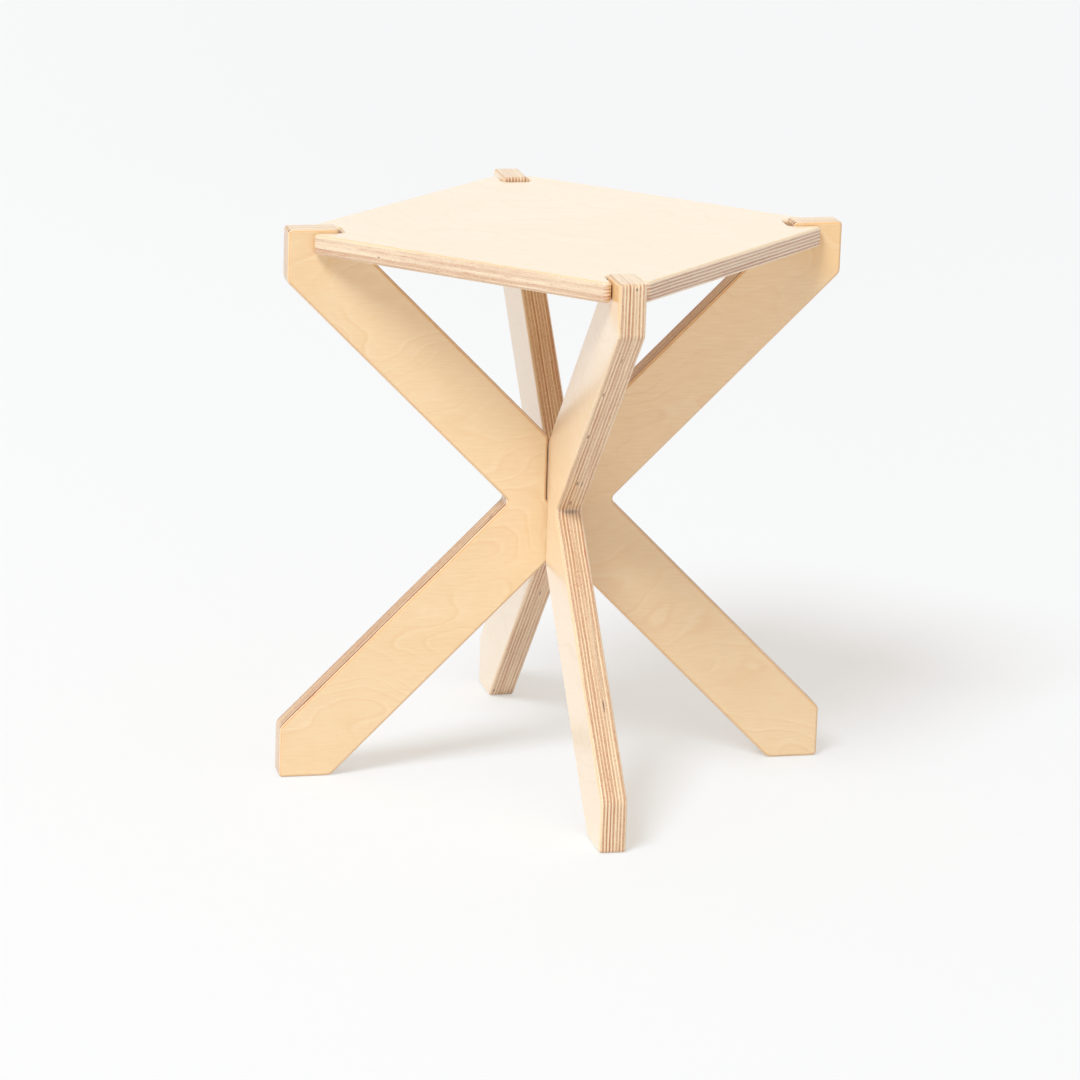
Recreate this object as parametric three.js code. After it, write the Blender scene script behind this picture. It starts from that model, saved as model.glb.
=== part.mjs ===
// A slot-together stool in birch plywood, in millimetres, +Z up, standing on z = 0.
// Two flat X-shaped panels cross at right angles and halve into each other at mid-height.
// A square seat board, notched at its four corners, drops over the prongs that top the arms.
import * as THREE from "three";

// The panels: an X of two straight bars, clipped to an upright rectangle.
const standHeight = 500;
const panelWidth = 500;
const panelThickness = 24;
const barWidth = 66;

// The seat board.
const seatSide = 350;
const seatThickness = 18;
const prongRise = 3;          // the prong tips stand this far above the seat
const prongWidth = 45;        // along the panel, measured from its outer upright edge
const notchEndRoom = 4;       // from a prong's inner end to the end of its notch

// Fits between the boards.
const slotClearance = 0.6;    // each side of a panel in the other one's slot
const slotEndClearance = 0.3; // between the ends of the two slots
const notchClearance = 0.7;   // each side of a prong in its notch
const seatRestGap = 0.3;      // between the shoulders and the board that lies on them

// Rounding: corners in the outline, and the router pass along every edge.
const edgeRadius = 3;
const tipRadius = 3.6;        // square corners of prongs and feet
const bendRadius = 9;         // blunt corners where a bar meets its upright edge
const waistRadius = 5;
const crotchRadius = 7;
const shoulderRadius = 3.5;   // inner corner between a shoulder and its prong
const slotMouthRadius = 4;
const seatCornerRadius = 5;
const notchCornerRadius = 4.5;
const arcStepsPerTurn = 24;
const edgeSteps = 3;

const wood = {
  lowerPanel: { color: 0xf3d3a6, roughness: 0.55, metalness: 0 },
  upperPanel: { color: 0xf6ddb9, roughness: 0.55, metalness: 0 },
  seat: { color: 0xfdf0dc, roughness: 0.5, metalness: 0 },
};

// A corner of an outline: its place before rounding, and its radius.
const corner = (u, v, radius) => ({ at: new THREE.Vector2(u, v), radius });

// Rounds every corner of an anticlockwise outline with a tangent arc.
function roundedShape(corners) {
  const points = [];
  corners.forEach(({ at, radius }, i) => {
    const before = corners[(i + corners.length - 1) % corners.length].at;
    const after = corners[(i + 1) % corners.length].at;
    const toBefore = before.clone().sub(at).normalize();
    const toAfter = after.clone().sub(at).normalize();
    const halfAngle = Math.acos(THREE.MathUtils.clamp(toBefore.dot(toAfter), -1, 1)) / 2;
    const inward = toBefore.clone().add(toAfter).normalize();
    const centre = at.clone().addScaledVector(inward, radius / Math.sin(halfAngle));
    const start = at.clone().addScaledVector(toBefore, radius / Math.tan(halfAngle)).sub(centre);
    const turn = Math.PI - 2 * halfAngle;
    const sense = Math.sign(toAfter.cross(toBefore));
    const steps = Math.max(2, Math.round((turn * arcStepsPerTurn) / (2 * Math.PI)));
    for (let k = 0; k <= steps; k++) {
      const arm = start.clone().rotateAround(new THREE.Vector2(), (sense * turn * k) / steps);
      points.push(arm.add(centre));
    }
  });
  return new THREE.Shape(points);
}

// A board of one thickness, centred on its own mid-plane, with every edge rounded over.
function board(corners, thickness) {
  const geometry = new THREE.ExtrudeGeometry(roundedShape(corners), {
    depth: thickness - 2 * edgeRadius,
    bevelThickness: edgeRadius,
    bevelSize: edgeRadius,
    bevelOffset: -edgeRadius,
    bevelSegments: edgeSteps,
  });
  return geometry.translate(0, 0, edgeRadius - thickness / 2);
}

// Lines of the X. A bar follows the rectangle's diagonal; its two edges cut the centre line
// at midHeight +- barRise, and the mid-height line at +- barRun.
const midHeight = standHeight / 2;
const halfWidth = panelWidth / 2;
const slope = standHeight / panelWidth;
const barRise = (barWidth / 2) * Math.hypot(1, slope);
const barRun = barRise / slope;

const shoulderHeight = standHeight - prongRise - seatThickness - seatRestGap;
const prongInner = halfWidth - prongWidth;
const shoulderInner = (shoulderHeight - midHeight - barRise) / slope;

// The right side of an X panel, from the lower crotch round to the upper one.
const rightSide = [
  corner(halfWidth - barRun, 0, bendRadius),
  corner(halfWidth, 0, tipRadius),
  corner(halfWidth, barRise, bendRadius),
  corner(barRun, midHeight, waistRadius),
  corner(halfWidth, standHeight - barRise, bendRadius),
  corner(halfWidth, standHeight, tipRadius),
  corner(prongInner, standHeight, tipRadius),
  corner(prongInner, shoulderHeight, shoulderRadius),
  corner(shoulderInner, shoulderHeight, bendRadius),
];
const leftSide = rightSide.map(({ at, radius }) => corner(-at.x, at.y, radius)).reverse();

// Cross-halving: one panel is slotted from the upper crotch down to mid-height, the other
// from the lower crotch up to it, so the second drops over the first.
const slotHalf = panelThickness / 2 + slotClearance;
const slotEndRadius = edgeRadius + slotClearance;
const mouthRise = barRise + slope * slotHalf;
const crotch = (side) => [corner(0, midHeight + side * barRise, crotchRadius)];
function slot(side) {
  const end = midHeight - (side * slotEndClearance) / 2;
  return [
    corner(side * slotHalf, midHeight + side * mouthRise, slotMouthRadius),
    corner(side * slotHalf, end, slotEndRadius),
    corner(-side * slotHalf, end, slotEndRadius),
    corner(-side * slotHalf, midHeight + side * mouthRise, slotMouthRadius),
  ];
}
const panelCorners = (upper, lower) => [...rightSide, ...upper, ...leftSide, ...lower];

// The seat: a square standing on its corners over the X, each corner notched for a prong.
const seatReach = seatSide / Math.SQRT2;
const notchHalf = panelThickness / 2 + notchClearance;
const notchEnd = prongInner - notchEndRoom;
const seatTip = seatReach - notchHalf;
const notch = [
  corner(seatTip, -notchHalf, seatCornerRadius),
  corner(notchEnd, -notchHalf, notchCornerRadius),
  corner(notchEnd, notchHalf, notchCornerRadius),
  corner(seatTip, notchHalf, seatCornerRadius),
];
const notchCount = 4;
const seatCorners = Array.from({ length: notchCount }, (_, turn) =>
  notch.map(({ at, radius }) => {
    const angle = (turn * 2 * Math.PI) / notchCount;
    const turned = at.clone().rotateAround(new THREE.Vector2(), angle);
    return corner(turned.x, turned.y, radius);
  }),
).flat();

function piece(name, geometry, look) {
  const mesh = new THREE.Mesh(geometry, new THREE.MeshStandardMaterial(look));
  mesh.name = name;
  return mesh;
}

// Lower panel: upright along X, slotted from above.
const lowerPanel = piece(
  "lower_cross_panel",
  board(panelCorners(slot(1), crotch(-1)), panelThickness),
  wood.lowerPanel,
);
lowerPanel.rotation.x = Math.PI / 2;

// Upper panel: the same X turned a quarter about Z, slotted from below.
const upperPanel = piece(
  "upper_cross_panel",
  board(panelCorners(crotch(1), slot(-1)), panelThickness),
  wood.upperPanel,
);
upperPanel.rotation.x = Math.PI / 2;
const turnedPanel = new THREE.Group();
turnedPanel.rotation.z = Math.PI / 2;
turnedPanel.add(upperPanel);

// Seat board: lies on the panels' four shoulders, with the prong tips just proud of it.
const seat = piece("seat_board", board(seatCorners, seatThickness), wood.seat);
seat.position.z = shoulderHeight + seatRestGap + seatThickness / 2;

const stool = new THREE.Group();
stool.add(lowerPanel, turnedPanel, seat);
export default stool;
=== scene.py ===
"""A slot-together birch plywood stool: two halved X panels and a notched seat board."""
import math

import bmesh
import bpy
from mathutils import Matrix, Vector


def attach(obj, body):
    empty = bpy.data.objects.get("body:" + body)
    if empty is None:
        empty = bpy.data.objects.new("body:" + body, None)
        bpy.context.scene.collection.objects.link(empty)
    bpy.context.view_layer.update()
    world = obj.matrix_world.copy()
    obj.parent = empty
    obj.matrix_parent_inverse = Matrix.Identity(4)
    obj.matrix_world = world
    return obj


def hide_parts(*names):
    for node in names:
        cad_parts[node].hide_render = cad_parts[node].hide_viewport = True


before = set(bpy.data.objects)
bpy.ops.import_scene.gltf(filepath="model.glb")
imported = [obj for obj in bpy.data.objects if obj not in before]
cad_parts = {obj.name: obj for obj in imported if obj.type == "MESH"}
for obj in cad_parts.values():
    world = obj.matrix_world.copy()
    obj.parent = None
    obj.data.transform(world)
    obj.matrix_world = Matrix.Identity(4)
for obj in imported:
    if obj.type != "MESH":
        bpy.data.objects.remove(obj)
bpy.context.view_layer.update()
mm = 0.001

# Lower panel. An upright X of 24 mm birch plywood, standing along X, cut in one piece by a
# router and rounded over along every edge. A slot from its upper crotch down to mid-height
# takes the other panel.
PANEL_SIZE = 500 * mm
PANEL_THICKNESS = 24 * mm
PANEL_PLIES = 17
BAR_WIDTH = 66 * mm
PRONG_WIDTH = 45 * mm
SHOULDER_HEIGHT = 478.7 * mm
SLOT_CLEARANCE = 0.6 * mm
SLOT_END_CLEARANCE = 0.3 * mm
EDGE_RADIUS = 3 * mm
TIP_RADIUS = 3.6 * mm
BEND_RADIUS = 9 * mm
WAIST_RADIUS = 5 * mm
CROTCH_RADIUS = 7 * mm
SHOULDER_RADIUS = 3.5 * mm
SLOT_MOUTH_RADIUS = 4 * mm
FACE_PLY = 0.95 * mm
EDGE_ROWS = 8
ARC_STEP = math.radians(6)
FEWEST_ARC_STEPS = 4

mid_height = PANEL_SIZE / 2
half_width = PANEL_SIZE / 2
bar_rise = BAR_WIDTH / 2 * math.sqrt(2)
slot_half = PANEL_THICKNESS / 2 + SLOT_CLEARANCE
mouth_rise = bar_rise + slot_half
shoulder_inner = SHOULDER_HEIGHT - mid_height - bar_rise

right_side = [
    (half_width - bar_rise, 0, BEND_RADIUS),
    (half_width, 0, TIP_RADIUS),
    (half_width, bar_rise, BEND_RADIUS),
    (bar_rise, mid_height, WAIST_RADIUS),
    (half_width, PANEL_SIZE - bar_rise, BEND_RADIUS),
    (half_width, PANEL_SIZE, TIP_RADIUS),
    (half_width - PRONG_WIDTH, PANEL_SIZE, TIP_RADIUS),
    (half_width - PRONG_WIDTH, SHOULDER_HEIGHT, SHOULDER_RADIUS),
    (shoulder_inner, SHOULDER_HEIGHT, BEND_RADIUS),
]
left_side = [(-u, v, radius) for u, v, radius in reversed(right_side)]


def crotch(side):
    """The plain bottom of the X's V: side is 1 above the middle, -1 below."""
    return [(0, mid_height + side * bar_rise, CROTCH_RADIUS)]


def slot(side):
    """The V with the other panel's slot sunk from it to mid-height."""
    end = mid_height - side * SLOT_END_CLEARANCE / 2
    mouth = mid_height + side * mouth_rise
    bottom_radius = EDGE_RADIUS + SLOT_CLEARANCE
    return [
        (side * slot_half, mouth, SLOT_MOUTH_RADIUS),
        (side * slot_half, end, bottom_radius),
        (-side * slot_half, end, bottom_radius),
        (-side * slot_half, mouth, SLOT_MOUTH_RADIUS),
    ]


def rounded_outline(corners):
    """Arcs of an anticlockwise outline, as (centre, direction, radius, bulge) per point.

    bulge is 1 on an outside corner and -1 on an inside one, so an outline drawn in by d
    runs at radius - bulge * d.
    """
    points = []
    for i, (u, v, radius) in enumerate(corners):
        at = Vector((u, v))
        to_before = (Vector(corners[i - 1][:2]) - at).normalized()
        to_after = (Vector(corners[(i + 1) % len(corners)][:2]) - at).normalized()
        half_angle = math.acos(max(-1.0, min(1.0, to_before.dot(to_after)))) / 2
        centre = at + (to_before + to_after).normalized() * radius / math.sin(half_angle)
        start = at + to_before * radius / math.tan(half_angle) - centre
        bulge = 1 if to_before.cross(to_after) < 0 else -1
        sweep = bulge * (math.pi - 2 * half_angle)
        first = math.atan2(start.y, start.x)
        steps = max(FEWEST_ARC_STEPS, round(abs(sweep) / ARC_STEP))
        for k in range(steps + 1):
            angle = first + sweep * k / steps
            points.append((centre, Vector((math.cos(angle), math.sin(angle))), radius, bulge))
    return points


def board(name, corners, thickness, place):
    """A routed board: flat faces, square edges rounded over; place maps (u, v, w) to XYZ."""
    outline = rounded_outline(corners)
    rows = []
    for k in range(EDGE_ROWS + 1):
        turn = math.pi / 2 * k / EDGE_ROWS
        rows.append((EDGE_RADIUS * (1 - math.sin(turn)), math.sin(turn), math.cos(turn)))
    profile = [(inset, 1, out, up) for inset, out, up in rows]
    profile += [(inset, -1, out, up) for inset, out, up in reversed(rows)]
    mesh = bmesh.new()
    rings = []
    normals = []
    for inset, face, out, up in profile:
        ring = []
        for centre, direction, radius, bulge in outline:
            flat = centre + direction * (radius - bulge * inset)
            depth = face * (thickness / 2 - EDGE_RADIUS * (1 - up))
            ring.append(mesh.verts.new(place(flat.x, flat.y, depth)))
            outward = direction * bulge * out
            normals.append(place(outward.x, outward.y, face * up) - place(0, 0, 0))
        rings.append(ring)
    count = len(outline)
    for upper_ring, lower_ring in zip(rings, rings[1:]):
        for i in range(count):
            j = (i + 1) % count
            mesh.faces.new((upper_ring[i], lower_ring[i], lower_ring[j], upper_ring[j]))
    mesh.faces.new(rings[0])
    mesh.faces.new(list(reversed(rings[-1])))
    data = bpy.data.meshes.new(name)
    mesh.normal_update()
    mesh.to_mesh(data)
    mesh.free()
    for polygon in data.polygons:
        polygon.use_smooth = True
    data.normals_split_custom_set_from_vertices([n.normalized() for n in normals])
    obj = bpy.data.objects.new(name, data)
    bpy.context.scene.collection.objects.link(obj)
    return obj


def node_group(name, inputs, outputs):
    """An empty shader group with its sockets; a socket is (name, kind, default)."""
    group = bpy.data.node_groups.new(name, "ShaderNodeTree")
    for label, kind, value in inputs:
        socket = group.interface.new_socket(label, in_out="INPUT", socket_type=kind)
        socket.default_value = value
    for label in outputs:
        group.interface.new_socket(label, in_out="OUTPUT", socket_type="NodeSocketFloat")
    return group, group.nodes.new("NodeGroupInput"), group.nodes.new("NodeGroupOutput")


def give_out(tree, result, values):
    """Feeds a group's outputs by name."""
    for label, value in values.items():
        wire(tree, value, result.inputs[label])


def use_group(tree, group, settings):
    """Places a group with its own values and returns what it puts out."""
    node = tree.nodes.new("ShaderNodeGroup")
    node.node_tree = group
    for label, value in settings.items():
        wire(tree, value, node.inputs[label])
    return node.outputs


def wire(tree, value, socket):
    """Feeds a socket from another one, or sets it."""
    if isinstance(value, bpy.types.NodeSocket):
        tree.links.new(value, socket)
    else:
        socket.default_value = value


def maths(tree, operation, *values):
    node = tree.nodes.new("ShaderNodeMath")
    node.operation = operation
    for value, socket in zip(values, node.inputs):
        wire(tree, value, socket)
    return node.outputs[0]


def total(tree, *values):
    """The sum of (value, share) pairs and plain sockets."""
    result = 0.0
    for value in values:
        if isinstance(value, tuple):
            value = maths(tree, "MULTIPLY", *value)
        result = maths(tree, "ADD", result, value)
    return result


def parts(tree, vector):
    """The X, Y and Z of a vector."""
    node = tree.nodes.new("ShaderNodeSeparateXYZ")
    wire(tree, vector, node.inputs[0])
    return node.outputs


def joined(tree, **given):
    """A vector from any of X, Y and Z; those not given are 0."""
    node = tree.nodes.new("ShaderNodeCombineXYZ")
    for label, value in given.items():
        wire(tree, value, node.inputs[label])
    return node.outputs[0]


def vector_maths(tree, operation, *values):
    node = tree.nodes.new("ShaderNodeVectorMath")
    node.operation = operation
    for value, socket in zip(values, node.inputs):
        wire(tree, value, socket)
    return node.outputs["Value" if operation in ("DOT_PRODUCT", "LENGTH") else "Vector"]


def remap(tree, value, low, high, to_low=0.0, to_high=1.0, smooth=False):
    """The value's stretch from low to high as a stretch from to_low to to_high, held there."""
    node = tree.nodes.new("ShaderNodeMapRange")
    node.interpolation_type = "SMOOTHSTEP" if smooth else "LINEAR"
    for given, label in ((value, "Value"), (low, "From Min"), (high, "From Max"),
                         (to_low, "To Min"), (to_high, "To Max")):
        wire(tree, given, node.inputs[label])
    return node.outputs["Result"]


def band(tree, value, rise, fall):
    """1 between a rise and a fall, each a stretch (from, to) of the value, and 0 beyond them."""
    return maths(tree, "MULTIPLY", remap(tree, value, *rise, 0.0, 1.0, True),
                 remap(tree, value, *fall, 1.0, 0.0, True))


def noise(tree, place, scales, detail=2.0, roughness=0.5):
    """Noise over a place, with one scale per axis, in features per metre."""
    node = tree.nodes.new("ShaderNodeTexNoise")
    stretched = vector_maths(tree, "MULTIPLY", place, scales)
    for given, label in ((stretched, "Vector"), (1.0, "Scale"), (detail, "Detail"),
                         (roughness, "Roughness")):
        wire(tree, given, node.inputs[label])
    return node.outputs["Fac"]


def blend(tree, share, first, second, kind="RGBA"):
    """The first value where the share is 0, the second where it is 1."""
    node = tree.nodes.new("ShaderNodeMix")
    node.data_type = kind
    for given, socket in ((share, node.inputs["Factor"]), (first, node.inputs["A"]),
                          (second, node.inputs["B"])):
        wire(tree, given, socket)
    return node.outputs["Result"]


def colour(r, g, b):
    """A colour as seen, 0 to 255, as the linear values a shader takes."""
    seen = [c / 255 for c in (r, g, b)]
    return [c / 12.92 if c <= 0.04045 else ((c + 0.055) / 1.055) ** 2.4 for c in seen] + [1.0]


def make_veneer_figure():
    """Figure of one peeled birch veneer, laid flat: rings drawn out along the grain."""
    tree, given, result = node_group(
        "veneer figure",
        [("Place", "NodeSocketVector", (0, 0, 0)), ("Seed", "NodeSocketFloat", 0.0),
         ("Rings across", "NodeSocketFloat", 60.0), ("Swirl", "NodeSocketFloat", 9.0)],
        ["Dark rings", "Pale rings", "Clouds", "Streaks"],
    )
    flat = vector_maths(tree, "MULTIPLY", given.outputs["Place"], (1.0, 1.0, 0.0))
    here = vector_maths(tree, "ADD", flat, joined(tree, Z=given.outputs["Seed"]))
    bend = noise(tree, here, (7.5, 13.0, 1.0), 1.5, 0.45)
    tremble = noise(tree, here, (60.0, 150.0, 1.0))
    ring = maths(tree, "FRACT", total(
        tree,
        (bend, given.outputs["Swirl"]),
        (parts(tree, here)["Y"], given.outputs["Rings across"]),
        (tremble, 0.30),
    ))
    patchy = remap(tree, noise(tree, here, (9.0, 26.0, 1.0), 1.0), 0.36, 0.64, 0.25, 1.0, True)
    dark = band(tree, ring, (0.70, 0.93), (0.93, 1.0))
    pale = band(tree, ring, (0.0, 0.06), (0.06, 0.30))
    clouds = noise(tree, here, (10.0, 22.0, 1.0), 2.5, 0.55)
    streaks = noise(tree, here, (55.0, 520.0, 1.0), 3.0, 0.6)
    give_out(tree, result, {
        "Dark rings": maths(tree, "MULTIPLY", dark, patchy),
        "Pale rings": maths(tree, "MULTIPLY", pale, patchy),
        "Clouds": remap(tree, clouds, 0.3, 0.7),
        "Streaks": remap(tree, streaks, 0.35, 0.7),
    })
    return tree


JUST_OVER_ONE = 1.001     # keeps a division by one minus a square away from zero
PLY_NOISE = (9.0, 9.0, 1.0)
FIBRES_ALONG = (70.0, 850.0, 850.0)
FIBRES_ACROSS = (850.0, 70.0, 850.0)
PLY_SEED_STEP = 1.37
PLY_NOISE_STEP = 7.7


def make_laid_plies():
    """Veneers glued crosswise: how deep a cut surface lies in them and what it shows.

    Depth counts plies from the board's middle, and under counts them inward from the glue
    line of the face ply.
    """
    tree, given, result = node_group(
        "laid plies",
        [("Place", "NodeSocketVector", (0, 0, 0)), ("Facing", "NodeSocketVector", (0, 0, 1)),
         ("Ply pitch", "NodeSocketFloat", 0.0015), ("Outer ply", "NodeSocketFloat", 8.0),
         ("Seed", "NodeSocketFloat", 0.0), ("Seam", "NodeSocketFloat", 0.5)],
        ["Inner", "Rim", "Tone", "Red", "Fibres", "Gaps", "End grain"],
    )
    place = given.outputs["Place"]
    upward = parts(tree, given.outputs["Facing"])["Y"]
    facing = parts(tree, vector_maths(tree, "ABSOLUTE", given.outputs["Facing"]))
    # Cuts that slope up along the board, such as the top of an arm.
    level = maths(tree, "MULTIPLY", facing["Z"], facing["Z"])
    slanted = maths(tree, "DIVIDE", maths(tree, "MULTIPLY", facing["X"], upward),
                    maths(tree, "SUBTRACT", JUST_OVER_ONE, level))
    slanted = remap(tree, slanted, 0.25, 0.45, 0.0, 1.0, True)

    # Depth in plies, with the small waves of real veneers, and the worn rim of the rounding.
    wavy = remap(tree, noise(tree, place, (24.0, 24.0, 330.0), 1.0), 0.3, 0.7, -0.20, 0.20)
    depth = maths(tree, "DIVIDE", parts(tree, place)["Z"], given.outputs["Ply pitch"])
    depth = maths(tree, "ADD", depth, wavy)
    outermost = maths(tree, "SUBTRACT", given.outputs["Outer ply"], 0.5)
    under = maths(tree, "SUBTRACT", outermost, maths(tree, "ABSOLUTE", depth))
    inner = remap(tree, under, -0.12, 0.12, 0.0, 1.0, True)
    rim = band(tree, facing["Z"], (0.68, 0.80), (0.92, 0.99))
    rim = maths(tree, "MULTIPLY", rim, remap(tree, slanted, 0.0, 1.0, 0.70, 1.0))

    # Every other ply lies crosswise, so it shows end grain where its neighbours don't.
    ply = maths(tree, "ROUND", depth)
    cross = maths(tree, "MODULO", maths(tree, "ABSOLUTE", ply), 2.0)
    along = maths(tree, "SUBTRACT", 1.0, cross)
    end = total(tree, (facing["X"], along), (facing["Y"], cross))
    within = maths(tree, "FRACT", maths(tree, "ADD", depth, 0.5))
    away = maths(tree, "ABSOLUTE", maths(tree, "SUBTRACT", within, 0.5))
    glue = remap(tree, away, 0.36, 0.48, 0.0, 1.0, True)
    seam = remap(tree, under, 0.9, 1.5, 1.0, 0.25, True)
    seam = maths(tree, "MULTIPLY", seam, remap(tree, under, 1.6, 2.4, 1.0, 0.0))
    seam = maths(tree, "MULTIPLY", seam, remap(tree, under, 0.35, 0.70, -0.2, 1.0, True))

    # Each ply has a tone of its own, and fibres that run its own way. Tone 0 is a pale ply
    # and 1 a dark one.
    hashed = tree.nodes.new("ShaderNodeTexWhiteNoise")
    hashed.noise_dimensions = "1D"
    seeded = total(tree, (ply, PLY_SEED_STEP), given.outputs["Seed"])
    wire(tree, seeded, hashed.inputs["W"])
    in_ply = vector_maths(tree, "ADD", vector_maths(tree, "MULTIPLY", place, (1.0, 1.0, 0.0)),
                          joined(tree, Z=maths(tree, "MULTIPLY", seeded, PLY_NOISE_STEP)))
    drift = noise(tree, in_ply, PLY_NOISE, 1.0)
    grain = blend(tree, cross, FIBRES_ALONG, FIBRES_ACROSS, "VECTOR")
    strands = noise(tree, place, grain, 3.0, 0.62)
    fibres = remap(tree, strands, 0.3, 0.7)
    pores = remap(tree, strands, 0.58, 0.70, 0.0, 1.0, True)
    tone = total(
        tree,
        (along, 0.38), (end, 0.38), (glue, 0.20), (pores, 0.30),
        (slanted, maths(tree, "MULTIPLY", seam, given.outputs["Seam"])),
        (slanted, maths(tree, "MULTIPLY", glue, 0.35)),
        # Cuts that face up along the board, such as a prong's top, are paler: painted top light.
        remap(tree, upward, 0.8, 1.0, 0.0, -0.18),
        remap(tree, hashed.outputs["Value"], 0.0, 1.0, -0.20, 0.14),
        remap(tree, drift, 0.3, 0.7, -0.20, 0.20),
        remap(tree, fibres, 0.0, 1.0, -0.22, 0.16),
    )
    red = remap(tree, noise(tree, in_ply, (6.0, 6.0, 1.9), 1.0), 0.50, 0.68, 0.0, 1.0, True)

    # Open joints inside a ply, and the parting under the face ply of a sloping cut.
    gaps = noise(tree, in_ply, (70.0, 70.0, 1.3), 2.0, 0.6)
    gaps = maths(tree, "MULTIPLY", remap(tree, gaps, 0.735, 0.765, 0.0, 1.0, True),
                 remap(tree, away, 0.45, 0.25))
    gaps = maths(tree, "MULTIPLY", gaps, remap(tree, facing["Z"], 0.5, 0.2))
    parting = maths(tree, "MULTIPLY", band(tree, under, (0.65, 0.95), (0.95, 1.35)),
                    maths(tree, "MULTIPLY", slanted, given.outputs["Seam"]))
    give_out(tree, result, {
        "Inner": inner, "Rim": rim, "Tone": tone, "Red": red, "Fibres": fibres,
        "Gaps": total(tree, gaps, (parting, 0.65)), "End grain": end,
    })
    return tree


def make_mark():
    """A soft-edged spot: a void in one ply, a scorch, or a patch of painted warm bounce light on
    a face.
    """
    tree, given, result = node_group(
        "mark",
        [("Place", "NodeSocketVector", (0, 0, 0)), ("Centre", "NodeSocketVector", (0, 0, 0)),
         ("Reach", "NodeSocketVector", (1, 1, 1)), ("Strength", "NodeSocketFloat", 1.0)],
        ["Mask"],
    )
    off = vector_maths(tree, "SUBTRACT", given.outputs["Place"], given.outputs["Centre"])
    off = vector_maths(tree, "LENGTH", vector_maths(tree, "DIVIDE", off, given.outputs["Reach"]))
    mask = maths(tree, "MULTIPLY", remap(tree, off, 0.45, 1.0, 1.0, 0.0, True),
                 given.outputs["Strength"])
    give_out(tree, result, {"Mask": mask})
    return tree


veneer_figure = make_veneer_figure()
laid_plies = make_laid_plies()
mark = make_mark()


def put_marks(tree, place, skin, marks):
    """Blends marks over a skin. A mark is (centre, length, thickness, strength, colour), with
    its centre and sizes in mm along the board, up it and through it."""
    for centre, length, thickness, strength, tint in marks:
        spotted = use_group(tree, mark, {
            "Place": place, "Centre": Vector(centre) * mm,
            "Reach": Vector((length, length, thickness)) * mm, "Strength": strength})
        skin = blend(tree, spotted["Mask"], skin, tint)
    return skin


DARK_RINGS = 0.34
PALE_RINGS = 0.24
STREAKS = 0.38
RIM = 0.75
CUT_ROUGHER = 0.12
WOOD_IOR = 1.5
LACQUER_IOR = 1.6
RELIEF_STRENGTH = 0.3
RELIEF_DEPTH = 0.1 * mm


def plywood(name, axes, middle, thickness, plies, seed, looks, rings_across, swirl,
            painted_warm_light=(), voids=()):
    """Lacquered birch plywood. axes are the directions along the face grain, across it and
    through the board; middle is the board's centre; painted_warm_light holds patches of
    painted warm bounce light, for wood that lies in shade, and they lie under the figure;
    voids are open spots in the cut plies."""
    material = bpy.data.materials.new(name)
    material.use_nodes = True
    tree = material.node_tree
    shader = tree.nodes["Principled BSDF"]
    spot = tree.nodes.new("ShaderNodeTexCoord")
    from_middle = vector_maths(tree, "SUBTRACT", spot.outputs["Object"], middle)
    place, facing = (
        joined(tree, **{label: vector_maths(tree, "DOT_PRODUCT", source, axis)
                        for label, axis in zip("XYZ", axes)})
        for source in (from_middle, spot.outputs["Normal"])
    )
    figure = use_group(tree, veneer_figure, {
        "Place": place, "Seed": seed, "Rings across": rings_across, "Swirl": swirl})
    laid = use_group(tree, laid_plies, {
        "Place": place, "Facing": facing, "Seed": seed, "Seam": looks["seam"],
        "Ply pitch": (thickness - 2 * FACE_PLY) / (plies - 2), "Outer ply": (plies - 1) / 2})
    skin = blend(tree, figure["Clouds"], looks["face"], looks["pale"])
    # Patches of painted warm bounce light go under the figure, where the wood lies in shade.
    skin = put_marks(tree, place, skin, painted_warm_light)
    for share, strength, tint in (
        (figure["Dark rings"], DARK_RINGS, looks["ring"]),
        (figure["Pale rings"], PALE_RINGS, looks["pale_ring"]),
        (figure["Streaks"], STREAKS, looks["ring"]),
        (laid["Rim"], RIM, looks["rim"]),
    ):
        skin = blend(tree, maths(tree, "MULTIPLY", share, strength), skin, tint)
    dark_ply = blend(tree, laid["Red"], looks["dark_ply"], looks["red_ply"])
    cut = blend(tree, laid["Tone"], looks["pale_ply"], dark_ply)
    cut = blend(tree, laid["Gaps"], cut, looks["void"])
    skin = blend(tree, laid["Inner"], skin, cut)
    wire(tree, put_marks(tree, place, skin, voids), shader.inputs["Base Color"])
    relief = total(tree, (laid["Fibres"], 0.5), (laid["Gaps"], -2.0),
                   (maths(tree, "MULTIPLY", laid["End grain"], laid["Inner"]), -0.4))
    bump = tree.nodes.new("ShaderNodeBump")
    bump.inputs["Strength"].default_value = RELIEF_STRENGTH
    bump.inputs["Distance"].default_value = RELIEF_DEPTH
    wire(tree, relief, bump.inputs["Height"])
    wire(tree, bump.outputs["Normal"], shader.inputs["Normal"])
    wire(tree, total(tree, looks["roughness"], (laid["Inner"], CUT_ROUGHER)),
         shader.inputs["Roughness"])
    shader.inputs["IOR"].default_value = WOOD_IOR
    shader.inputs["Coat IOR"].default_value = LACQUER_IOR
    wire(tree, remap(tree, laid["Inner"], 0.0, 1.0, looks["coat"], looks["cut_coat"]),
         shader.inputs["Coat Weight"])
    shader.inputs["Coat Roughness"].default_value = looks["coat_roughness"]
    return material


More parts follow.
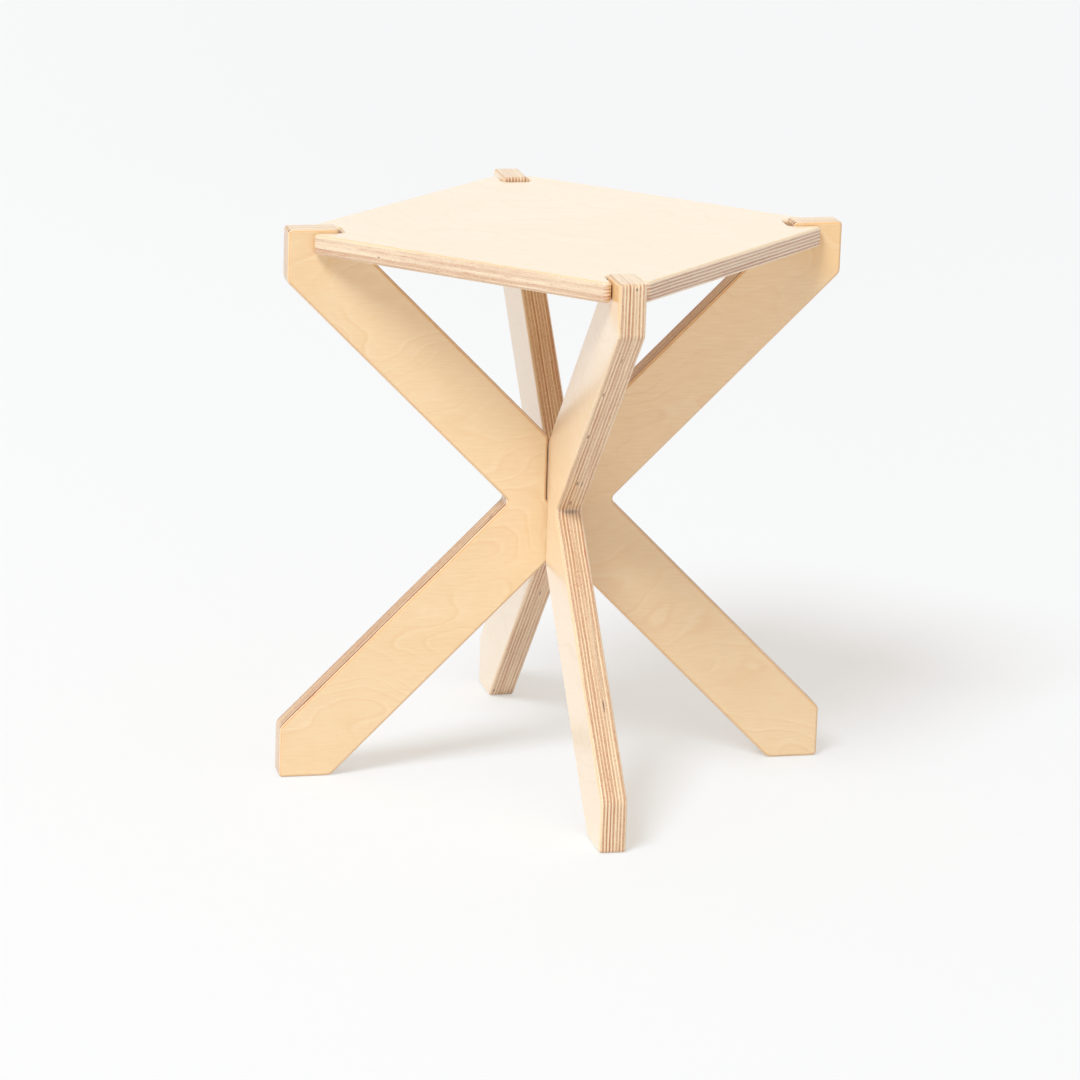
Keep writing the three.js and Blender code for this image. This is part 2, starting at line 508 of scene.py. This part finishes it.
panel_looks = dict(
    face=colour(242, 208, 160), pale=colour(245, 214, 169), ring=colour(237, 192, 138),
    pale_ring=colour(254, 232, 194), rim=colour(230, 168, 104),
    pale_ply=colour(242, 216, 178), dark_ply=colour(186, 120, 74),
    red_ply=colour(182, 106, 66), void=colour(84, 46, 32), seam=1.0,
    roughness=0.42, coat=1.0, cut_coat=0.7, coat_roughness=0.15,
)
# Colours of painted warm bounce light, for wood that lies in shade.
PAINTED_AMBER_LIGHT = colour(248, 196, 124)
PAINTED_ROSE_LIGHT = colour(255, 221, 174)
HALF_BOARD = 12
SHOW_FACE = -HALF_BOARD
# Painted warm bounce light on the lower panel's front face: amber on both prongs, shaded in the
# seat's notches, and a paler rose wash on the right arm, shaded by the upper panel.
lower_painted_warm_light = [
    ((240, 480, SHOW_FACE), 44, HALF_BOARD, 0.55, PAINTED_AMBER_LIGHT),
    ((-240, 480, SHOW_FACE), 50, HALF_BOARD, 0.22, PAINTED_AMBER_LIGHT),
    ((120, 365, SHOW_FACE), 170, HALF_BOARD, 0.75, PAINTED_ROSE_LIGHT),
]
lower = board(
    "lower_panel_board",
    right_side + slot(1) + left_side + crotch(-1),
    PANEL_THICKNESS,
    lambda u, v, w: Vector((u, -w, v)),
)
lower.data.materials.append(plywood(
    "lower panel birch", axes=((1, 0, 0), (0, 0, 1), (0, 1, 0)), middle=(0, 0, 0),
    thickness=PANEL_THICKNESS, plies=PANEL_PLIES, seed=5.0, looks=panel_looks,
    rings_across=24.0, swirl=11.0, painted_warm_light=lower_painted_warm_light,
))
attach(lower, "lower_panel")
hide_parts("lower_cross_panel")

# Upper panel. The same X turned a quarter, standing along Y, slotted from its lower crotch
# so that it drops over the lower one. Its front edge shows open veneer joints as thin dark
# spots, and a scorch where the router turned at the waist.
upper = board(
    "upper_panel_board",
    right_side + crotch(1) + left_side + slot(-1),
    PANEL_THICKNESS,
    lambda u, v, w: Vector((w, u, v)),
)
ONE_PLY = 0.75
GAP = panel_looks["void"]
upper_voids = [
    ((-250.0, 495.4, 2.7), 2.0, ONE_PLY, 1.0, GAP),
    ((-225.8, 429.1, -1.8), 4.5, ONE_PLY, 0.6, GAP),
    ((-187.0, 390.3, -7.2), 4.0, ONE_PLY, 0.8, GAP),
    ((-137.5, 340.8, -7.2), 4.5, ONE_PLY, 0.9, GAP),
    ((-80.5, 283.8, -1.4), 4.0, ONE_PLY, 1.0, GAP),
    ((-79.9, 283.3, 2.9), 6.5, ONE_PLY, 0.75, GAP),
    ((-56.4, 259.8, -1.4), 5.5, ONE_PLY, 0.9, GAP),
    ((-46.2, 249.5, 1.5), 4.5, HALF_BOARD, 0.55, GAP),
    ((-184.5, 112.1, 3.6), 8.0, ONE_PLY, 0.95, GAP),
    ((-150.0, 146.0, 4.4), 75.0, ONE_PLY, 0.35, GAP),
    ((60.5, 142.8, 1.4), 5.0, ONE_PLY, 0.8, GAP),
]
# Painted warm bounce light: amber on the front prong, shaded in the seat's notch, and a faint
# wash low on the front arm's left face, shaded under the seat.
upper_painted_warm_light = [
    ((-236, 486, SHOW_FACE), 34, HALF_BOARD, 0.80, PAINTED_AMBER_LIGHT),
    ((-40, 280, SHOW_FACE), 90, HALF_BOARD, 0.12, PAINTED_AMBER_LIGHT),
]
# The upper panel is the same birch as the lower one: its paler, cooler face, figure and rim
# colours are painted sheen, the white room mirrored in its left face.
upper_looks_painted_sheen = dict(
    panel_looks, face=colour(251, 225, 190), pale=colour(252, 230, 201),
    ring=colour(244, 208, 163), rim=colour(246, 204, 150), seam=0.15,
)
upper.data.materials.append(plywood(
    "upper panel birch", axes=((0, 1, 0), (0, 0, 1), (1, 0, 0)), middle=(0, 0, 0),
    thickness=PANEL_THICKNESS, plies=PANEL_PLIES, seed=11.0, looks=upper_looks_painted_sheen,
    rings_across=26.0, swirl=8.0, painted_warm_light=upper_painted_warm_light, voids=upper_voids,
))
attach(upper, "upper_panel")
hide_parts("upper_cross_panel")

# Seat. A square of 18 mm birch plywood turned 45 degrees to the panels, each corner notched
# over a prong. It lies on the shoulders, a hair below the prong tips, and is pale and satin.
SEAT_SIDE = 350 * mm
SEAT_THICKNESS = 18 * mm
SEAT_PLIES = 13
SEAT_REST_GAP = 0.3 * mm
NOTCH_CLEARANCE = 0.7 * mm
NOTCH_END_ROOM = 4 * mm
SEAT_CORNER_RADIUS = 5 * mm
NOTCH_CORNER_RADIUS = 4.5 * mm

seat_middle = SHOULDER_HEIGHT + SEAT_REST_GAP + SEAT_THICKNESS / 2
notch_half = PANEL_THICKNESS / 2 + NOTCH_CLEARANCE
notch_end = half_width - PRONG_WIDTH - NOTCH_END_ROOM
seat_tip = SEAT_SIDE / math.sqrt(2) - notch_half
notch = [
    (seat_tip, -notch_half, SEAT_CORNER_RADIUS),
    (notch_end, -notch_half, NOTCH_CORNER_RADIUS),
    (notch_end, notch_half, NOTCH_CORNER_RADIUS),
    (seat_tip, notch_half, SEAT_CORNER_RADIUS),
]
seat_corners = []
for quarter in range(4):
    turn = Matrix.Rotation(quarter * math.pi / 2, 2)
    for u, v, radius in notch:
        at = turn @ Vector((u, v))
        seat_corners.append((at.x, at.y, radius))
seat = board(
    "seat_top_board", seat_corners, SEAT_THICKNESS,
    lambda u, v, w: Vector((u, v, w + seat_middle)),
)
# The seat's cut plies are a little cooler than the panels': painted cool light on its right-hand
# edge.
seat_looks_painted_cool_light = dict(
    panel_looks, face=colour(244, 223, 186), pale=colour(247, 227, 193),
    ring=colour(238, 209, 167), rim=colour(236, 190, 128), pale_ply=colour(242, 218, 186),
    dark_ply=colour(190, 131, 89), red_ply=colour(192, 122, 84), seam=0.0, cut_coat=1.0,
)
slant = math.sqrt(0.5)
seat.data.materials.append(plywood(
    "seat birch", axes=((slant, -slant, 0), (slant, slant, 0), (0, 0, 1)),
    middle=(0, 0, seat_middle), thickness=SEAT_THICKNESS, plies=SEAT_PLIES, seed=23.0,
    looks=seat_looks_painted_cool_light, rings_across=30.0, swirl=8.0,
))
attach(seat, "seat")
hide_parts("seat_board")

# Studio. A white paper floor that runs out of the picture, one wide soft light from the left
# front and the white room's own light.
FLOOR_REACH = 14.0
floor_data = bpy.data.meshes.new("floor")
floor_data.from_pydata(
    [(-FLOOR_REACH, -FLOOR_REACH, 0), (FLOOR_REACH, -FLOOR_REACH, 0),
     (FLOOR_REACH, FLOOR_REACH, 0), (-FLOOR_REACH, FLOOR_REACH, 0)], [], [(0, 1, 2, 3)])
floor = bpy.data.objects.new("floor", floor_data)
bpy.context.scene.collection.objects.link(floor)


def seen_rays(tree):
    """1 for the rays that show a surface as itself: seen, mirrored or through glass."""
    rays = tree.nodes.new("ShaderNodeLightPath").outputs
    seen = maths(tree, "MAXIMUM", rays["Is Camera Ray"], rays["Is Glossy Ray"])
    return maths(tree, "MAXIMUM", seen, rays["Is Transmission Ray"])


PAPER_GLOW = 0.485
GLOW_SIDEWAYS = 0.012
GLOW_BACKWARD = 0.014
paper = bpy.data.materials.new("white paper")
paper.use_nodes = True
tree = paper.node_tree
paper_shader = tree.nodes["Principled BSDF"]
paper_shader.inputs["Roughness"].default_value = 0.9
paper_shader.inputs["Specular IOR Level"].default_value = 0.1
paper_shader.inputs["Emission Color"].default_value = colour(255, 252, 244)
seen = seen_rays(tree)
wire(tree, blend(tree, seen, colour(238, 238, 238), colour(171, 173, 178)),
     paper_shader.inputs["Base Color"])
ground = parts(tree, tree.nodes.new("ShaderNodeTexCoord").outputs["Object"])
glow = total(tree, PAPER_GLOW,
             remap(tree, ground["X"], -0.5, 0.6, GLOW_SIDEWAYS, -GLOW_SIDEWAYS),
             remap(tree, ground["Y"], -0.7, 3.0, GLOW_BACKWARD, -GLOW_BACKWARD))
wire(tree, maths(tree, "MULTIPLY", seen, glow), paper_shader.inputs["Emission Strength"])
floor_data.materials.append(paper)

ROOM_AT_FLOOR = 0.34
ROOM_UPWARD = 0.42
ROOM_LEFTWARD = 0.22
ROOM_FORWARD = 0.06
ROOM_SHOWN = 0.97
DIM_CORNER = 0.25
world = bpy.data.worlds.new("white room")
bpy.context.scene.world = world
world.use_nodes = True
tree = world.node_tree
room = tree.nodes["Background"]
way = parts(tree, tree.nodes.new("ShaderNodeTexCoord").outputs["Generated"])
lit = maths(tree, "MULTIPLY", total(tree, ROOM_AT_FLOOR, (way["Z"], ROOM_UPWARD)),
            total(tree, 1.0, (way["X"], -ROOM_LEFTWARD), (way["Y"], -ROOM_FORWARD)))
# The room is darker behind at the left, so that lacquered edges don't mirror it white.
dim = maths(tree, "MULTIPLY", remap(tree, way["Z"], 0.08, 0.20, 0.0, 1.0, True),
            remap(tree, way["X"], 0.05, -0.20, 0.0, 1.0, True))
shown = remap(tree, dim, 0.0, 1.0, ROOM_SHOWN, DIM_CORNER)
seen = seen_rays(tree)
wire(tree, remap(tree, seen, 0.0, 1.0, lit, shown), room.inputs["Strength"])
tint = blend(tree, remap(tree, way["X"], -1.0, 1.0),
             colour(255, 241, 230), colour(254, 247, 248))
wire(tree, blend(tree, seen, tint, colour(255, 255, 255)), room.inputs["Color"])

KEY_AZIMUTH = math.radians(-46)
KEY_ELEVATION = math.radians(50.7)
KEY_DISTANCE = 3.0
key_light = bpy.data.lights.new("key soft box", "SUN")
key_light.energy = 2.35
key_light.color = (0.88, 1.0, 1.07)
key_light.angle = math.radians(21.5)
key = bpy.data.objects.new("key soft box", key_light)
bpy.context.scene.collection.objects.link(key)
key_way = Vector((math.sin(KEY_AZIMUTH) * math.cos(KEY_ELEVATION),
                  -math.cos(KEY_AZIMUTH) * math.cos(KEY_ELEVATION), math.sin(KEY_ELEVATION)))
key.location = key_way * KEY_DISTANCE
key.rotation_euler = key_way.to_track_quat("Z", "Y").to_euler()

# Camera. A long lens from a little left of the front, looking down at the seat.
CAMERA_AZIMUTH = math.radians(-13.195)
CAMERA_ELEVATION = math.radians(15.579)
CAMERA_ROLL = math.radians(1.853)
CAMERA_PLACE = Vector((-0.93112, -3.90958, 1.33008))
FOCAL_PIXELS = 4649.9
PHOTO_PIXELS = 1080
SENSOR = 36
away = Vector((
    math.sin(CAMERA_AZIMUTH) * math.cos(CAMERA_ELEVATION),
    -math.cos(CAMERA_AZIMUTH) * math.cos(CAMERA_ELEVATION),
    math.sin(CAMERA_ELEVATION),
))
level = Vector((0, 0, 1)).cross(away).normalized()
rise = away.cross(level)
right = level * math.cos(CAMERA_ROLL) + rise * math.sin(CAMERA_ROLL)
up = rise * math.cos(CAMERA_ROLL) - level * math.sin(CAMERA_ROLL)
lens = bpy.data.cameras.new("camera")
lens.sensor_width = SENSOR
lens.sensor_fit = "HORIZONTAL"
lens.lens = FOCAL_PIXELS / PHOTO_PIXELS * SENSOR
lens.clip_end = 60
camera = bpy.data.objects.new("camera", lens)
bpy.context.scene.collection.objects.link(camera)
aim = Matrix((right, up, away)).transposed().to_4x4()
camera.matrix_world = Matrix.Translation(CAMERA_PLACE) @ aim
bpy.context.scene.camera = camera
bpy.context.scene.view_settings.view_transform = "Standard"
